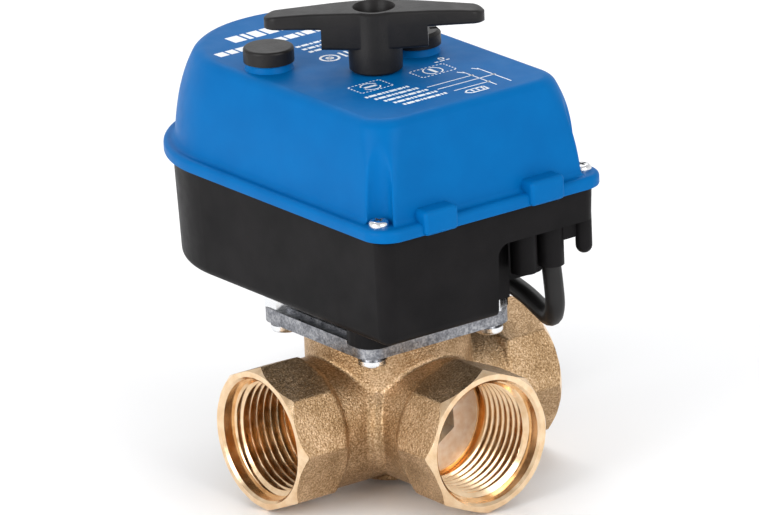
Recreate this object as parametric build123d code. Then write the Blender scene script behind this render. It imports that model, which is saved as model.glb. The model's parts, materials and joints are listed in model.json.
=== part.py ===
"""Motorised three-way zone valve: a forged brass ball valve with three
female G1 ports, and a rotary actuator on a square zinc mounting plate.

Units are millimetres. The pieces are modelled with z = 0 on the port axes and
raised by PORT_AXIS_HEIGHT when they are written, so that the part's origin is
on the stem axis at the flat underside of the body. +Z runs up the stem, the
branch port faces -Y and the two run ports face -X and +X.
"""
from build123d import *
import math
import os

# ---- driving dimensions: valve ----
PORT_AXIS_HEIGHT = 18.9      # port axes above the flat underside
PORT_REACH = 44.5            # port axis crossing to each port's mouth
HEX_VERTEX_R = 20.66         # eight-sided wrench collar, centre to vertex
COLLAR_LENGTH = 16.8
NECK_R = 18.4
PAD_R = 22.7
PAD_TOP = 24.1
COUNTERBORE_R = 17.0
COUNTERBORE_DEPTH = 3.8
THREAD_MINOR_R = 15.15       # G1 minor diameter 30.29
THREAD_LENGTH = 19.0
CAVITY_R = 15.0
BRANCH_BORE_R = 14.65        # the ball goes in through it
PASSAGE_R = 9.0
RETAINER_FACE = 20.0         # branch seat retainer's outer face, from the stem axis
RETAINER_KEY_R = 7.51        # its 13 mm hexagon hole, centre to corner
BALL_R = 14.5
BALL_BORE_R = 7.9
SEAT_R = 11.0
STEM_R = 5.0
SPIGOT_R = 12.0
SPIGOT_TOP = 26.6

# ---- driving dimensions: mounting plate ----
PLATE_SIDE = 50.0
PLATE_TOP = 28.1
PLATE_SCREW_AT = 19.8
PLATE_HEAD_R = 3.95
PLATE_HEAD_TOP = 22.8
SPACER_R = 5.5               # 9.5 mm hexagon spacer, centre to corner
FOOT_POCKET = 1.0
PAD_SCREW_AT = 16.0
SPACERS_AT = [(PLATE_SCREW_AT, -PLATE_SCREW_AT), (-PLATE_SCREW_AT, PLATE_SCREW_AT),
              (PLATE_SCREW_AT, PLATE_SCREW_AT)]

# ---- driving dimensions: actuator ----
ACT_X = 2.6                  # actuator's middle plane, beside the stem axis
BASE_BOTTOM = 34.7
BASE_TOP = 64.2
SEAL = 0.8
FLANGE_BOTTOM = BASE_TOP + SEAL
FLANGE_TOP = 69.8
COVER_TOP = 95.5
WALL = 2.2
COVER_SCREW_X = 34.2         # either side of ACT_X
COVER_SCREW_Y = -41.4
BACK_SCREW_Y = 71.4
COVER_SCREW_R = 1.25
COVER_SCREW_END = 56.0
RECESS_CEILING = 55.3
RECESS_LEFT = 5.0
RECESS_STEP_X = 17.4
RECESS_BACK = -33.0
RECESS_DEEP_BACK = -22.0
GLAND_Y = -38.0
GLAND_X = 28.0
BLANK_GLAND_X = 18.8
GLAND_R = 3.65
GLAND_BOTTOM = 43.0

# ---- driving dimensions: drive ----
OUTPUT_TEETH = 33
PINION_TEETH = 15
WHEEL_TEETH = 45
SLOW_MODULE = 1.0
FAST_MODULE = 0.5
IDLER_Y = SLOW_MODULE * (OUTPUT_TEETH + PINION_TEETH) / 2
MOTOR_Y = IDLER_Y + FAST_MODULE * (WHEEL_TEETH + PINION_TEETH) / 2
SHAFT_R = 6.0
UPPER_SHAFT_R = 4.5
AXLE_R = 1.5
RUN_FIT = 0.05
LOWER_PLATE_Z = 53.0
UPPER_PLATE_Z = 65.6
GEAR_PLATE = 1.5
BOARD_Z = 79.0
MOTOR_R = 24.5

# ---- driving dimensions: controls ----
HANDLE_ANGLE = -37.6
HANDLE_LENGTH = 59.6
HUB_R = 7.2
BUTTON_AT = (-19.8, 21.9)
SELECTOR_AT = (18.0, 6.0)
CAP_R = 6.95
CAP_TOP = 101.6
COLLAR_TOP = 97.4
BUTTON_TRAVEL = 1.6
RELEASE_SWITCH_TOP = 78.0

# ---- driving dimensions: cable ----
CABLE_D = 5.4
FLOOR = -HEX_VERTEX_R
COIL_AT = (54.6, 57.0)
COIL_MEAN_R = 27.0
CABLE_ROUTE = [
    (28.0, -38.0, 43.0),
    (28.4, -38.4, 36.4),
    (28.6, -38.6, 30.3),
    (29.9, -35.0, 25.9),
    (31.8, -28.0, 26.6),
    (33.8, -18.5, 28.2),
    (36.0, -5.0, 29.0),
    (37.2, 9.5, 28.2),
    (36.2, 24.0, 21.3),
    (32.6, 37.0, 8.5),
    (28.4, 48.0, -5.0),
    (25.2, 58.5, -12.0),
]

os.makedirs("parts", exist_ok=True)


def write(name, shape):
    """Raise a piece to the part's own origin and write it."""
    export_step(Pos(0, 0, PORT_AXIS_HEIGHT) * shape, f"parts/{name}.step")


def disc(r, z0, z1, x=0.0, y=0.0):
    return Pos(x, y, (z0 + z1) / 2) * Cylinder(r, z1 - z0)


def ring(r_out, r_in, z0, z1, x=0.0, y=0.0):
    return disc(r_out, z0, z1, x, y) - disc(r_in, z0 - 1, z1 + 1, x, y)


def block(x0, x1, y0, y1, z0, z1):
    centre = Pos((x0 + x1) / 2, (y0 + y1) / 2, (z0 + z1) / 2)
    return centre * Box(x1 - x0, y1 - y0, z1 - z0)


def turned(points):
    """Solid of revolution about Z from (radius, height) points."""
    outline = Polyline(*[(r, 0, z) for r, z in points], close=True)
    return revolve(make_face(outline), Axis.Z)


def around_port(solid, angle):
    """Turn a solid made along +Z so that it points out of a port."""
    return Rot(0, 0, angle) * (Rot(0, 90, 0) * solid)


PORT_ANGLES = {"run_left": 180, "run_right": 0, "branch": -90}


# ---------------------------------------------------------------- valve
def collar():
    """Eight-sided wrench collar with a turned mouth and shoulder."""
    start = PORT_REACH - COLLAR_LENGTH
    prism = extrude(RegularPolygon(HEX_VERTEX_R, 8), COLLAR_LENGTH)
    envelope = turned([
        (0, start), (NECK_R - 0.2, start), (HEX_VERTEX_R + 0.1, start + 2.4),
        (HEX_VERTEX_R + 0.1, PORT_REACH - 1.9), (19.2, PORT_REACH), (0, PORT_REACH),
    ])
    return (Pos(0, 0, start) * prism) & envelope


def port_bore():
    """Counterbore and thread core of one port."""
    thread_top = PORT_REACH - COUNTERBORE_DEPTH
    thread_end = thread_top - THREAD_LENGTH
    return turned([
        (0, thread_end), (THREAD_MINOR_R, thread_end), (THREAD_MINOR_R, thread_top),
        (COUNTERBORE_R, thread_top), (COUNTERBORE_R, PORT_REACH - 0.5),
        (COUNTERBORE_R + 0.6, PORT_REACH + 0.1), (0, PORT_REACH + 0.1),
    ])


def valve_body():
    run = Rot(0, 90, 0) * Cylinder(NECK_R, 2 * (PORT_REACH - COLLAR_LENGTH + 1))
    branch = around_port(disc(NECK_R, 0, PORT_REACH - COLLAR_LENGTH + 1), -90)
    body = run + branch + disc(PAD_R, 5.0, PAD_TOP)
    body = body + disc(10.5, -PORT_AXIS_HEIGHT, 0)
    body = body + disc(SPIGOT_R, PAD_TOP - 1, SPIGOT_TOP)
    for angle in PORT_ANGLES.values():
        body = body + around_port(collar(), angle)
    body = body - Sphere(CAVITY_R)
    body = body - around_port(disc(BRANCH_BORE_R, 0, 30), -90)
    for name, angle in PORT_ANGLES.items():
        body = body - around_port(port_bore(), angle)
        if name != "branch":
            body = body - around_port(disc(PASSAGE_R, 0, 30), angle)
            body = body - around_port(disc(SEAT_R + 0.05, 0, 15.4), angle)
    body = body - disc(STEM_R + RUN_FIT, 10, SPIGOT_TOP + 1)
    body = body - disc(7.3, 10, 17.6)
    for x, y in cross_of(PAD_SCREW_AT):
        body = body - disc(1.5, PAD_TOP - 7, PAD_TOP + 1, x, y)
    return body


def square_of(half):
    return [(x, y) for x in (-half, half) for y in (-half, half)]


def cross_of(reach):
    return [(reach, 0), (-reach, 0), (0, reach), (0, -reach)]


def seat(angle):
    """PTFE ring that bears on the ball."""
    profile = turned([(8.2, 12.2), (9.6, 11.1), (SEAT_R, 11.1), (SEAT_R, 15.35), (8.2, 15.35)])
    return around_port(profile, angle)


def seat_retainer():
    """Brass ring that holds the branch seat, with a hexagon key hole."""
    body = disc(BRANCH_BORE_R - 0.05, 15.4, RETAINER_FACE)
    key = extrude(RegularPolygon(RETAINER_KEY_R, 6, rotation=63), 6)
    body = body - Pos(0, 0, 15) * key
    return around_port(body, -90)


def ball():
    """Ball with an L-shaped bore from the branch to the right run port."""
    body = Sphere(BALL_R)
    body = body - around_port(disc(BALL_BORE_R, 0, 20), -90)
    body = body - around_port(disc(BALL_BORE_R, 0, 20), 0)
    body = body - Sphere(BALL_BORE_R)
    return body - block(-5.2, 5.2, -2.6, 2.6, 11.2, 16)


def stem():
    body = block(-5.0, 5.0, -2.5, 2.5, 11.3, 15.0) & disc(7.0, 11, 16)
    body = body + disc(7.0, 14.7, 16.5) + disc(STEM_R, 16.4, 27.6)
    body = body + block(-3.5, 3.5, -3.5, 3.5, 27.5, 40.0)
    for z in (19.2, 22.4):
        body = body - ring(STEM_R + 1, 3.8, z - 0.7, z + 0.7)
    return body


def stem_o_rings():
    return Compound([Pos(0, 0, z) * Torus(4.42, 0.6) for z in (19.2, 22.4)])


# ------------------------------------------------------- mounting plate
def rounded_slab(side, corner, z0, z1):
    return Pos(0, 0, z0) * extrude(RectangleRounded(side, side, corner), z1 - z0)


def mounting_plate():
    plate = rounded_slab(PLATE_SIDE, 5.2, PAD_TOP, PLATE_TOP)
    rib = rounded_slab(44.4, 4, PLATE_TOP - 0.5, PLATE_TOP + 0.9)
    rib = rib - rounded_slab(41.2, 3, PLATE_TOP - 1, PLATE_TOP + 3)
    plate = plate + rib
    for x, y in square_of(PLATE_SCREW_AT):
        plate = plate + disc(3.1, PLATE_HEAD_TOP, PAD_TOP + 1, x, y)
    for x, y in SPACERS_AT:
        plate = plate - hexagon(SPACER_R + 0.2, PLATE_TOP, PLATE_TOP + 4, x, y)
    plate = plate - foot_outline(PLATE_TOP - FOOT_POCKET, PLATE_TOP + 4, 0.1)
    for x, y in square_of(PLATE_SCREW_AT):
        plate = plate - disc(2.1, 15, BASE_BOTTOM + 1, x, y)
    plate = plate - disc(SPIGOT_R + 0.1, 20, 30)
    for x, y in cross_of(PAD_SCREW_AT):
        plate = plate - disc(1.8, 20, 30, x, y)
        plate = plate - Pos(x, y, PLATE_TOP - 1.0) * Cone(1.8, 3.8, 2.0)
    return plate


def hexagon(r, z0, z1, x, y):
    return Pos(x, y, z0) * extrude(RegularPolygon(r, 6, rotation=30), z1 - z0)


def plate_spacers():
    """Three hexagon spacers that hold the actuator base off the plate."""
    spacers = []
    for x, y in SPACERS_AT:
        spacer = hexagon(SPACER_R, PLATE_TOP, BASE_BOTTOM, x, y)
        spacers.append(spacer - disc(2.1, PLATE_TOP - 1, BASE_BOTTOM + 1, x, y))
    return Compound(spacers)


def foot_outline(z0, z1, gap):
    """Rounded foot of the actuator base that stands in the plate's corner."""
    at = -PLATE_SCREW_AT + 1.0
    side = 13.0 + 2 * gap
    outline = RectangleRounded(side, side, 5.5)
    return Pos(at, at, z0) * extrude(outline, z1 - z0)


def plate_screws():
    """Four pan-head screws that clamp the plate to the actuator base."""
    heads = []
    for x, y in square_of(PLATE_SCREW_AT):
        head = disc(PLATE_HEAD_R, PLATE_HEAD_TOP - 1.9, PLATE_HEAD_TOP, x, y)
        head = fillet(head.edges().group_by(Axis.Z)[0], 0.9)
        shank = disc(1.95, PLATE_HEAD_TOP - 0.4, 41.0, x, y)
        slot = block(x - 2.2, x + 2.2, y - 0.45, y + 0.45, 19, PLATE_HEAD_TOP - 1.0)
        slot = slot + block(x - 0.45, x + 0.45, y - 2.2, y + 2.2, 19, PLATE_HEAD_TOP - 1.0)
        heads.append(head + shank - slot)
    return Compound(heads)


def pad_screws():
    """Four countersunk screws that hold the plate on the brass pad."""
    screws = []
    for x, y in cross_of(PAD_SCREW_AT):
        head = Pos(x, y, PLATE_TOP - 1.0) * Cone(1.75, 3.7, 1.9)
        shank = disc(1.45, PAD_TOP - 6.5, PLATE_TOP - 1.9, x, y)
        slot = block(x - 2.4, x + 2.4, y - 0.4, y + 0.4, PLATE_TOP - 1.0, PLATE_TOP + 1)
        screws.append(head + shank - slot)
    return Compound(screws)


# ------------------------------------------------------------- housing
def dee(half, front, centre_y, corner, z):
    """D-shaped outline: straight front and sides, half-round back."""
    left = ACT_X - half
    right = ACT_X + half
    d = corner * (1 - math.sqrt(0.5))
    outline = [
        Line((right, front + corner, z), (right, centre_y, z)),
        ThreePointArc((right, centre_y, z), (ACT_X, centre_y + half, z), (left, centre_y, z)),
        Line((left, centre_y, z), (left, front + corner, z)),
        ThreePointArc(
            (left, front + corner, z), (left + d, front + d, z), (left + corner, front, z)
        ),
        Line((left + corner, front, z), (right - corner, front, z)),
        ThreePointArc(
            (right - corner, front, z), (right - d, front + d, z), (right, front + corner, z)
        ),
    ]
    return make_face(outline)


def stacked(sections):
    """Straight-sided stages between D-shaped sections, lowest first."""
    body = None
    for low, high in zip(sections, sections[1:]):
        stage = loft([dee(*low), dee(*high)], ruled=True)
        body = stage if body is None else body + stage
    return body


def inset(section, amount, z):
    half, front, centre_y, corner, _ = section
    return (half - amount, front + amount, centre_y, max(corner - amount, 1.0), z)


BASE_LOW = (35.3, -44.4, 37.4, 3.6, BASE_BOTTOM)
BASE_HIGH = (36.4, -45.6, 37.8, 4.2, BASE_TOP)
COVER_SECTIONS = [
    (35.6, -44.9, 38.0, 5.0, FLANGE_TOP - 1),
    (34.9, -43.6, 37.0, 6.0, 79.0),
    (33.6, -41.4, 35.2, 7.5, 88.0),
    (31.4, -39.0, 33.0, 9.0, COVER_TOP),
]
FLANGE = (38.8, -48.2, 37.9, 7.5, FLANGE_BOTTOM)
COVER_SCREWS = [
    (ACT_X - COVER_SCREW_X, COVER_SCREW_Y),
    (ACT_X + COVER_SCREW_X, COVER_SCREW_Y),
    (ACT_X, BACK_SCREW_Y),
]


def recess(grow):
    """Space under the front right of the base, where the glands hang."""
    shallow = block(RECESS_LEFT - grow, 60, -60, RECESS_BACK + grow, 0, RECESS_CEILING + grow)
    deep = block(
        RECESS_STEP_X - grow, 60, -60, RECESS_DEEP_BACK + grow, 0, RECESS_CEILING + grow
    )
    return shallow + deep


def actuator_base():
    outer = stacked([BASE_LOW, BASE_HIGH])
    outer = fillet(outer.edges().group_by(Axis.Z)[0], 2.6)
    hollow = stacked([
        inset(BASE_LOW, WALL, BASE_BOTTOM + WALL), inset(BASE_HIGH, WALL, BASE_TOP + 1),
    ])
    notch = recess(0)
    notch = fillet(notch.edges().filter_by(Axis.Y).group_by(Axis.X)[0], 3.5)
    outer = outer - notch
    hollow = hollow - recess(WALL)
    for x, y in COVER_SCREWS:
        hollow = hollow - disc(3.4, RECESS_CEILING, BASE_TOP + 1, x, y)
    for x, y in square_of(PLATE_SCREW_AT):
        hollow = hollow - disc(4.0, BASE_BOTTOM, 43.0, x, y)
    base = outer - hollow
    base = base + foot_outline(PLATE_TOP - FOOT_POCKET, BASE_BOTTOM + 1, 0)
    for x in (BLANK_GLAND_X, GLAND_X):
        base = base + disc(GLAND_R, GLAND_BOTTOM, RECESS_CEILING + 1, x, GLAND_Y)
    post_x, post_y = COVER_SCREWS[1]
    base = base + disc(2.3, 47.3, RECESS_CEILING + 1, post_x, post_y)
    base = base + Pos(post_x, post_y, 47.3) * Sphere(2.3)
    base = base + block(GLAND_X + 2, post_x - 1, -41.2, -39.4, 50.0, RECESS_CEILING + 1)
    base = base - disc(8.0, 30, 40)
    for x, y in square_of(PLATE_SCREW_AT):
        base = base - disc(2.0, 20, 41.5, x, y)
    for x, y in COVER_SCREWS:
        base = base - disc(COVER_SCREW_R + RUN_FIT, COVER_SCREW_END - 0.5, 70, x, y)
    base = base - disc(2.95, 40, 62, GLAND_X, GLAND_Y)
    return base


def cover_gasket():
    outer = extrude(dee(*inset(BASE_HIGH, 0.5, BASE_TOP)), SEAL)
    inner = extrude(dee(*inset(BASE_HIGH, WALL, BASE_TOP - 1)), SEAL + 2)
    for x, y in COVER_SCREWS:
        inner = inner - disc(3.4, 60, 70, x, y)
    gasket = outer - inner
    for x, y in COVER_SCREWS:
        gasket = gasket - disc(COVER_SCREW_R + 0.1, 60, 70, x, y)
    return gasket


def actuator_cover():
    flange = extrude(dee(*FLANGE), FLANGE_TOP - FLANGE_BOTTOM)
    flange = fillet(flange.edges().group_by(Axis.Z)[-1], 1.4)
    dome = stacked(COVER_SECTIONS)
    dome = fillet(dome.edges().group_by(Axis.Z)[-1], 2.6)
    cover = flange + dome
    for x0, x1 in ((-22.4, -10.5), (13.3, 25.5)):
        tab = block(x0, x1, -49.9, -43.0, FLANGE_BOTTOM, FLANGE_TOP + 2.6)
        cover = cover + fillet(tab.edges().group_by(Axis.Y)[0], 0.8)
    for x, y in (BUTTON_AT, SELECTOR_AT):
        cover = cover + disc(6.4, COVER_TOP - 1, COLLAR_TOP, x, y)
    low = inset(COVER_SECTIONS[0], WALL, FLANGE_BOTTOM - 1)
    tops = [inset(s, WALL, s[4]) for s in COVER_SECTIONS[1:3]]
    last = inset(COVER_SECTIONS[3], WALL, COVER_TOP - WALL)
    hollow = stacked([low] + tops + [last])
    for x, y in COVER_SCREWS:
        hollow = hollow - disc(5.6, FLANGE_BOTTOM - 2, COVER_TOP, x, y)
        cover = cover - disc(3.7, FLANGE_TOP - 1.6, COVER_TOP + 1, x, y)
        cover = cover - disc(COVER_SCREW_R + 0.1, FLANGE_BOTTOM - 1, FLANGE_TOP, x, y)
    cover = cover - hollow
    cover = cover - disc(UPPER_SHAFT_R + RUN_FIT, COVER_TOP - 5, COVER_TOP + 2)
    x, y = BUTTON_AT
    cover = cover - disc(5.0, COVER_TOP - 1.0, COLLAR_TOP + 1, x, y)
    cover = cover - disc(2.05, COVER_TOP - 5, COLLAR_TOP + 1, x, y)
    x, y = SELECTOR_AT
    return cover - disc(2.05, COVER_TOP - 5, COLLAR_TOP + 1, x, y)


def cover_screws():
    """Pan-head cross-recess screws through the cover's flange."""
    screws = []
    seat_z = FLANGE_TOP - 1.6
    for x, y in COVER_SCREWS:
        head = disc(2.75, seat_z, seat_z + 2.1, x, y)
        head = fillet(head.edges().group_by(Axis.Z)[-1], 1.2)
        cross = block(x - 1.5, x + 1.5, y - 0.35, y + 0.35, seat_z + 0.9, seat_z + 3)
        cross = cross + block(x - 0.35, x + 0.35, y - 1.5, y + 1.5, seat_z + 0.9, seat_z + 3)
        shank = disc(COVER_SCREW_R, COVER_SCREW_END, seat_z + 0.5, x, y)
        screws.append(head + shank - cross)
    return Compound(screws)


# --------------------------------------------------------------- drive
def gear(module, teeth, z0, z1, tooth_at):
    """Spur gear with 20 degree involute flanks; a tooth points at tooth_at."""
    pitch_r = module * teeth / 2
    base_r = pitch_r * math.cos(math.radians(20))
    tip_r = pitch_r + 0.85 * module
    root_r = pitch_r - 1.15 * module
    involute_at_pitch = math.tan(math.radians(20)) - math.radians(20)
    half_tooth = math.pi / (2 * teeth) - 0.06 * module / pitch_r
    flank = []
    for step in range(6):
        r = max(base_r, root_r) + (tip_r - max(base_r, root_r)) * step / 5
        roll = math.acos(min(1.0, base_r / r))
        flank.append((r, half_tooth + involute_at_pitch - (math.tan(roll) - roll)))
    points = []
    for tooth in range(teeth):
        middle = math.radians(tooth_at) + 2 * math.pi * tooth / teeth
        side = flank if root_r > base_r else [(root_r, flank[0][1])] + flank
        for r, a in side:
            points.append((r * math.cos(middle - a), r * math.sin(middle - a)))
        for r, a in reversed(side):
            points.append((r * math.cos(middle + a), r * math.sin(middle + a)))
    outline = make_face(Polyline(*points, close=True))
    return Pos(0, 0, z0) * extrude(outline, z1 - z0)


def output_gear():
    body = gear(SLOW_MODULE, OUTPUT_TEETH, 58.4, 63.6, 90)
    for k in range(5):
        angle = math.radians(18 + 72 * k)
        body = body - disc(2.6, 50, 70, 10.8 * math.cos(angle), 10.8 * math.sin(angle))
    return body - disc(SHAFT_R, 50, 70)


def idler_gear():
    half_gap = 180 / PINION_TEETH
    wheel = gear(FAST_MODULE, WHEEL_TEETH, 55.2, 57.8, 90)
    pinion = gear(SLOW_MODULE, PINION_TEETH, 57.6, 64.4, -90 + half_gap)
    return Pos(0, IDLER_Y, 0) * (wheel + pinion - disc(AXLE_R + RUN_FIT, 50, 70))


def motor_pinion():
    half_gap = 180 / PINION_TEETH
    pinion = gear(FAST_MODULE, PINION_TEETH, 55.0, 58.4, -90 + half_gap)
    return Pos(0, MOTOR_Y, 0) * (pinion + disc(1.2, 51.6, 55.2))


def idler_axle():
    return disc(AXLE_R, LOWER_PLATE_Z, UPPER_PLATE_Z + GEAR_PLATE, 0, IDLER_Y)


def output_shaft():
    """Steel shaft from the valve's square stem up to the handle."""
    body = disc(SHAFT_R, 29.0, 66.0) + disc(UPPER_SHAFT_R, 65.9, 101.0)
    flats = disc(UPPER_SHAFT_R, 100.9, 106.0) & block(-5, 5, -3, 3, 100, 107)
    body = body + Rot(0, 0, HANDLE_ANGLE) * flats
    body = body - block(-3.55, 3.55, -3.55, 3.55, 28, 41)
    return body - disc(1.5, 95.0, 107)


def cam(z, angle):
    body = disc(8.0, z, z + 3.4) - disc(UPPER_SHAFT_R, z - 1, z + 5)
    notch = Pos(8.0, 0, z + 1.7) * Box(3.0, 5.0, 6)
    return body - Rot(0, 0, angle) * notch


def limit_cams():
    return Compound([cam(69.0, 180), cam(73.6, -90)])


def gear_plate(z, holes):
    """Pressed steel plate of the gear train."""
    outline = Pos(0, 21.0, z) * extrude(RectangleRounded(48, 74, 6), GEAR_PLATE)
    for x, y, r in holes:
        outline = outline - disc(r, z - 1, z + 3, x, y)
    for x, y in PILLARS:
        outline = outline - disc(1.6, z - 1, z + 3, x, y)
    return outline


PILLARS = [(-20.5, -12.5), (20.5, -12.5), (-20.5, 54.5), (20.5, 54.5)]


def lower_gear_plate():
    return gear_plate(
        LOWER_PLATE_Z, [(0, 0, SHAFT_R + 0.4), (0, IDLER_Y, AXLE_R), (0, MOTOR_Y, 2.2)]
    )


def upper_gear_plate():
    holes = [(0, 0, UPPER_SHAFT_R + 3), (0, IDLER_Y, AXLE_R)]
    return gear_plate(UPPER_PLATE_Z, holes)


def gearbox_pillars():
    """Spacer pillars between the gear plates, and under the lower one."""
    pillars = []
    for x, y in PILLARS:
        pillars.append(ring(3.2, 1.6, LOWER_PLATE_Z + GEAR_PLATE, UPPER_PLATE_Z, x, y))
        pillars.append(ring(3.2, 1.6, BASE_BOTTOM + WALL, LOWER_PLATE_Z, x, y))
    return Compound(pillars)


def gearbox_screws():
    screws = []
    top = UPPER_PLATE_Z + GEAR_PLATE
    for x, y in PILLARS:
        screws.append(disc(1.5, 38.5, top, x, y) + disc(2.8, top, top + 1.8, x, y))
    return Compound(screws)


def motor():
    """Flat synchronous motor with its fixing ears."""
    top = LOWER_PLATE_Z - 0.1
    body = disc(MOTOR_R - 6.0, 38.2, top - 1.2, 0, MOTOR_Y + 2.0)
    body = fillet(body.edges().group_by(Axis.Z)[0], 1.5)
    body = body + disc(MOTOR_R - 4.0, top - 1.2, top, 0, MOTOR_Y + 2.0)
    body = body - disc(1.35, 51.4, top + 1, 0, MOTOR_Y)
    return body


def lower_bush():
    """Plastic bush of the output shaft in the base's floor."""
    body = ring(8.0, SHAFT_R + RUN_FIT, BASE_BOTTOM, BASE_BOTTOM + WALL)
    return body + ring(9.6, SHAFT_R + RUN_FIT, BASE_BOTTOM + WALL, BASE_BOTTOM + WALL + 1.6)


def shaft_seal():
    """Lip seal of the output shaft, under the cover's top."""
    return ring(7.5, UPPER_SHAFT_R + RUN_FIT, COVER_TOP - WALL - 2.4, COVER_TOP - WALL)


def circuit_board():
    body = block(-25.5, 30.0, -33.0, 15.0, BOARD_Z, BOARD_Z + 1.6)
    body = fillet(body.edges().filter_by(Axis.Z), 2.0)
    return body - disc(9.0, 70, 90)


def board_posts():
    """Plastic posts that carry the circuit board over the gear plate."""
    top = UPPER_PLATE_Z + GEAR_PLATE
    posts = []
    for x, y in ((-22.0, 8.0), (22.0, 0.0), (12.0, -12.0), (-12.0, -12.0)):
        posts.append(disc(2.4, top, BOARD_Z, x, y))
    return Compound(posts)


def terminal_block():
    body = block(-15.0, 15.0, -31.0, -23.0, BOARD_Z + 1.6, BOARD_Z + 10.6)
    for k in range(6):
        x = -12.5 + 5.0 * k
        body = body - disc(1.7, BOARD_Z + 7.6, BOARD_Z + 12, x, -26.0)
        body = body - block(x - 1.6, x + 1.6, -33, -27.5, BOARD_Z + 2.6, BOARD_Z + 6.0)
    return body


def terminal_screws():
    screws = []
    for k in range(6):
        x = -12.5 + 5.0 * k
        head = disc(1.5, BOARD_Z + 7.6, BOARD_Z + 9.4, x, -26.0)
        screws.append(head - block(x - 1.6, x + 1.6, -26.2, -25.8, BOARD_Z + 8.9, BOARD_Z + 10))
    return Compound(screws)


def limit_switches():
    """Two snap-action switches worked by the cams."""
    first = block(-21.0, -14.6, -8.0, 2.0, 67.2, 72.4) + block(-14.6, -8.4, -0.4, 0.4, 70.0, 71.0)
    second = block(-5.0, 5.0, -21.4, -15.0, 67.2, 76.6)
    second = second + block(-0.4, 0.4, -15.0, -8.4, 74.8, 75.8)
    return Compound([first, second])


def release_switch():
    """Switch under the push button."""
    x, y = BUTTON_AT
    body = block(x - 3.4, x + 3.4, y - 6.0, y + 6.0, UPPER_PLATE_Z + GEAR_PLATE, 76.6)
    return body + disc(1.5, 76.5, RELEASE_SWITCH_TOP, x, y)


def selector_switch():
    x, y = SELECTOR_AT
    return disc(6.0, BOARD_Z + 1.6, 90.6, x, y) - disc(2.05, 86.0, 92, x, y)


# ------------------------------------------------------------ controls
def handle():
    """T-shaped hand lever with a countersunk hole over the shaft."""
    hub = disc(HUB_R, COVER_TOP + 0.3, 103.0)
    web = block(-14.4, 14.4, -5.4, 5.4, 102.9, 109.0)
    web = fillet(web.edges().filter_by(Axis.Z), 2.0)
    end_r = 3.6
    rounds = Circle(7.0)
    for sign in (-1, 1):
        end = Pos(sign * (HANDLE_LENGTH / 2 - end_r), 0, 0) * Circle(end_r)
        rounds = rounds + make_hull(end.edges() + Circle(7.0).edges())
    wings = Pos(0, 0, 108.5) * extrude(rounds, 5.0)
    body = hub + web + wings
    body = body - Pos(0, 0, 111.3) * Cone(3.0, 5.8, 4.6)
    body = body - disc(2.6, 104, 112)
    body = body - (disc(UPPER_SHAFT_R, 90, 106.1) & block(-5, 5, -3, 3, 90, 107))
    body = body - disc(UPPER_SHAFT_R, 90, 101.1)
    return Rot(0, 0, HANDLE_ANGLE) * body


def handle_screw():
    body = disc(2.5, 106.1, 108.4) + disc(1.45, 97.0, 106.3)
    return body - (Pos(0, 0, 108.0) * extrude(RegularPolygon(1.2, 6), 2))


def button_cap():
    """Hollow cap that slides over the cover's collar."""
    x, y = BUTTON_AT
    cap = disc(CAP_R, COLLAR_TOP + 0.1, CAP_TOP, x, y)
    cap = fillet(cap.edges().group_by(Axis.Z)[-1], 0.8)
    return cap - disc(6.7, COLLAR_TOP - 1, CAP_TOP - 1.2, x, y)


def button_plunger():
    x, y = BUTTON_AT
    body = disc(2.0, RELEASE_SWITCH_TOP + BUTTON_TRAVEL + 0.1, CAP_TOP - 1.2, x, y)
    return body - ring(4.0, 1.5, 91.6, 92.6, x, y)


def button_clip():
    x, y = BUTTON_AT
    return ring(3.6, 1.5, 91.7, 92.5, x, y)


def button_spring():
    """Coil spring around the plunger, as its outer shape."""
    x, y = BUTTON_AT
    return ring(4.2, 3.2, COVER_TOP - 1.0, CAP_TOP - 1.2, x, y)


def selector_knob():
    x, y = SELECTOR_AT
    knob = disc(CAP_R, COLLAR_TOP + 0.2, CAP_TOP, x, y)
    knob = chamfer(knob.edges().group_by(Axis.Z)[-1], 0.9)
    mark = Rot(0, 0, -30) * Pos(CAP_R - 1.2, 0, CAP_TOP) * Box(3.6, 1.4, 2.0)
    return knob - Pos(x, y, 0) * mark


def selector_shaft():
    x, y = SELECTOR_AT
    return disc(2.0, 86.2, COLLAR_TOP + 0.2, x, y)


# --------------------------------------------------------------- cable
def cable_gland():
    """Rubber gland that grips the cable inside the boss."""
    body = disc(2.95, GLAND_BOTTOM, 60.0, GLAND_X, GLAND_Y)
    return body + disc(4.4, RECESS_CEILING + WALL, 60.0, GLAND_X, GLAND_Y)


def route_radii():
    """Arc radii that the neighbouring runs of the route allow."""
    corners = [Vector(*p) for p in CABLE_ROUTE]
    radii = []
    for before, here, after in zip(corners, corners[1:], corners[2:]):
        run_in = here - before
        run_out = after - here
        turn = math.radians(run_in.get_angle(run_out))
        shorter = min(run_in.length, run_out.length)
        radii.append(0.45 * shorter / math.tan(turn / 2))
    return radii


def cable_coil():
    """Outer shape of two turns beside and two turns on each other."""
    x, y = COIL_AT
    height = 2 * CABLE_D
    body = ring(COIL_MEAN_R + CABLE_D, COIL_MEAN_R - CABLE_D, FLOOR, FLOOR + height, x, y)
    return fillet(body.edges(), CABLE_D * 0.45)


def cable():
    radii = route_radii()
    path = FilletPolyline(*CABLE_ROUTE, radius=radii)
    section = Plane(origin=path @ 0, z_dir=path % 0) * Circle(CABLE_D / 2)
    tube = sweep(section, path=path)
    straight = math.pi * (CABLE_D / 2) ** 2 * path.length
    print("cable radii", [round(r, 1) for r in radii])
    print("cable length", round(path.length, 1), "volume ratio", round(tube.volume / straight, 4))
    tube = tube - disc(20, GLAND_BOTTOM, 60, GLAND_X, GLAND_Y)
    return tube - cable_coil()


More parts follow.
